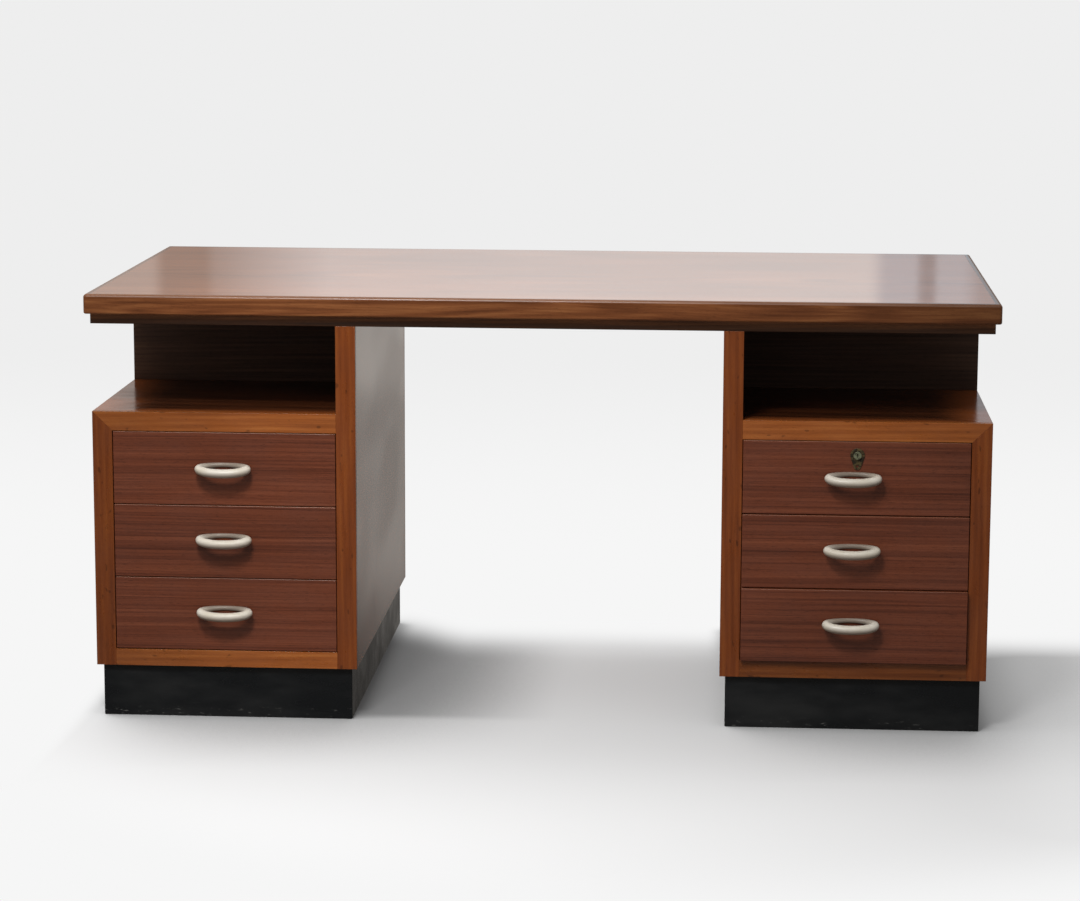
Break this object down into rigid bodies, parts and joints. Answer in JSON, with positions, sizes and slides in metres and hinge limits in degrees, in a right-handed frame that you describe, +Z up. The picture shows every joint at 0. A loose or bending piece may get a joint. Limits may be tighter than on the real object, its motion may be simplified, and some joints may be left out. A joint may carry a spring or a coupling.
{
  "type": "kneehole desk",
  "caption": "Kneehole writing desk: a thick wooden top on drawer pedestals with open niches under the top, oval ring pulls, a black plinth and a drawer lock.",
  "frame": {"origin": "on the floor under the middle of the desk's box, pulls included", "axes": "+X to the right along the desk's length, +Y from the drawer side to the back, +Z up"},
  "size_m": [1.6, 0.8561, 0.762],
  "materials": {
    "top_veneer": "glossy lacquered veneer",
    "carcase_veneer": "glossy lacquered veneer",
    "edging_wood": "satin lacquered solid wood",
    "drawer_veneer": "satin striped veneer",
    "dark_wood": "dark stained",
    "box_wood": "plain pale wood",
    "black_plinth": "satin black paint",
    "ivory_plastic": "glossy",
    "aged_brass": "dark patina",
    "steel": "plain"
  },
  "bodies": {
    "desk_frame": {"top_panel": "top_veneer", "top_edging": "edging_wood", "top_underframe": "dark_wood", "drawer_runners": "box_wood", "left_inner_side": "carcase_veneer", "left_outer_side": "carcase_veneer", "left_shelf": "carcase_veneer", "left_bottom": "carcase_veneer", "left_edging": "edging_wood", "left_back_panel": "dark_wood", "left_niche_partition": "dark_wood", "left_plinth": "black_plinth", "right_inner_side": "carcase_veneer", "right_outer_side": "carcase_veneer", "right_shelf": "carcase_veneer", "right_bottom": "carcase_veneer", "right_edging": "edging_wood", "right_back_panel": "dark_wood", "right_niche_partition": "dark_wood", "right_plinth": "black_plinth"},
    "left_top_drawer": {"left_top_drawer_front": "drawer_veneer", "left_top_drawer_sides": "box_wood", "left_top_drawer_back": "box_wood", "left_top_drawer_bottom": "box_wood", "left_top_pull": "ivory_plastic", "left_top_pull_screws": "steel"},
    "left_middle_drawer": {"left_middle_drawer_front": "drawer_veneer", "left_middle_drawer_sides": "box_wood", "left_middle_drawer_back": "box_wood", "left_middle_drawer_bottom": "box_wood", "left_middle_pull": "ivory_plastic", "left_middle_pull_screws": "steel"},
    "left_bottom_drawer": {"left_bottom_drawer_front": "drawer_veneer", "left_bottom_drawer_sides": "box_wood", "left_bottom_drawer_back": "box_wood", "left_bottom_drawer_bottom": "box_wood", "left_bottom_pull": "ivory_plastic", "left_bottom_pull_screws": "steel"},
    "right_top_drawer": {"right_top_drawer_front": "drawer_veneer", "right_top_drawer_sides": "box_wood", "right_top_drawer_back": "box_wood", "right_top_drawer_bottom": "box_wood", "right_top_pull": "ivory_plastic", "right_top_pull_screws": "steel", "lock_escutcheon": "aged_brass", "lock_case": "steel"},
    "right_middle_drawer": {"right_middle_drawer_front": "drawer_veneer", "right_middle_drawer_sides": "box_wood", "right_middle_drawer_back": "box_wood", "right_middle_drawer_bottom": "box_wood", "right_middle_pull": "ivory_plastic", "right_middle_pull_screws": "steel"},
    "right_bottom_drawer": {"right_bottom_drawer_front": "drawer_veneer", "right_bottom_drawer_sides": "box_wood", "right_bottom_drawer_back": "box_wood", "right_bottom_drawer_bottom": "box_wood", "right_bottom_pull": "ivory_plastic", "right_bottom_pull_screws": "steel"},
    "lock_barrel": {"lock_barrel": "aged_brass"},
    "lock_bolt": {"lock_bolt": "steel"}
  },
  "joints": [
    {"name": "left_top_drawer_slide", "type": "slide", "parent": "desk_frame", "child": "left_top_drawer", "axis": [0, -1, 0], "range_m": [0, 0.44]},
    {"name": "left_middle_drawer_slide", "type": "slide", "parent": "desk_frame", "child": "left_middle_drawer", "axis": [0, -1, 0], "range_m": [0, 0.44]},
    {"name": "left_bottom_drawer_slide", "type": "slide", "parent": "desk_frame", "child": "left_bottom_drawer", "axis": [0, -1, 0], "range_m": [0, 0.44]},
    {"name": "right_top_drawer_slide", "type": "slide", "parent": "desk_frame", "child": "right_top_drawer", "axis": [0, -1, 0], "range_m": [0, 0.44]},
    {"name": "right_middle_drawer_slide", "type": "slide", "parent": "desk_frame", "child": "right_middle_drawer", "axis": [0, -1, 0], "range_m": [-0.003, 0.437]},
    {"name": "right_bottom_drawer_slide", "type": "slide", "parent": "desk_frame", "child": "right_bottom_drawer", "axis": [0, -1, 0], "range_m": [-0.01, 0.43]},
    {"name": "lock_barrel_turn", "type": "hinge", "parent": "right_top_drawer", "child": "lock_barrel", "pos_m": [0.557, -0.37996, 0.4938], "axis": [0, -1, 0], "range_deg": [0, 90]},
    {"name": "lock_bolt_slide", "type": "slide", "parent": "right_top_drawer", "child": "lock_bolt", "axis": [0, 0, 1], "range_m": [0, 0.009]}
  ],
  "couplings": [
    {"joint": "lock_barrel_turn", "follows": "lock_bolt_slide", "rad_per_m": 174.53}
  ]
}
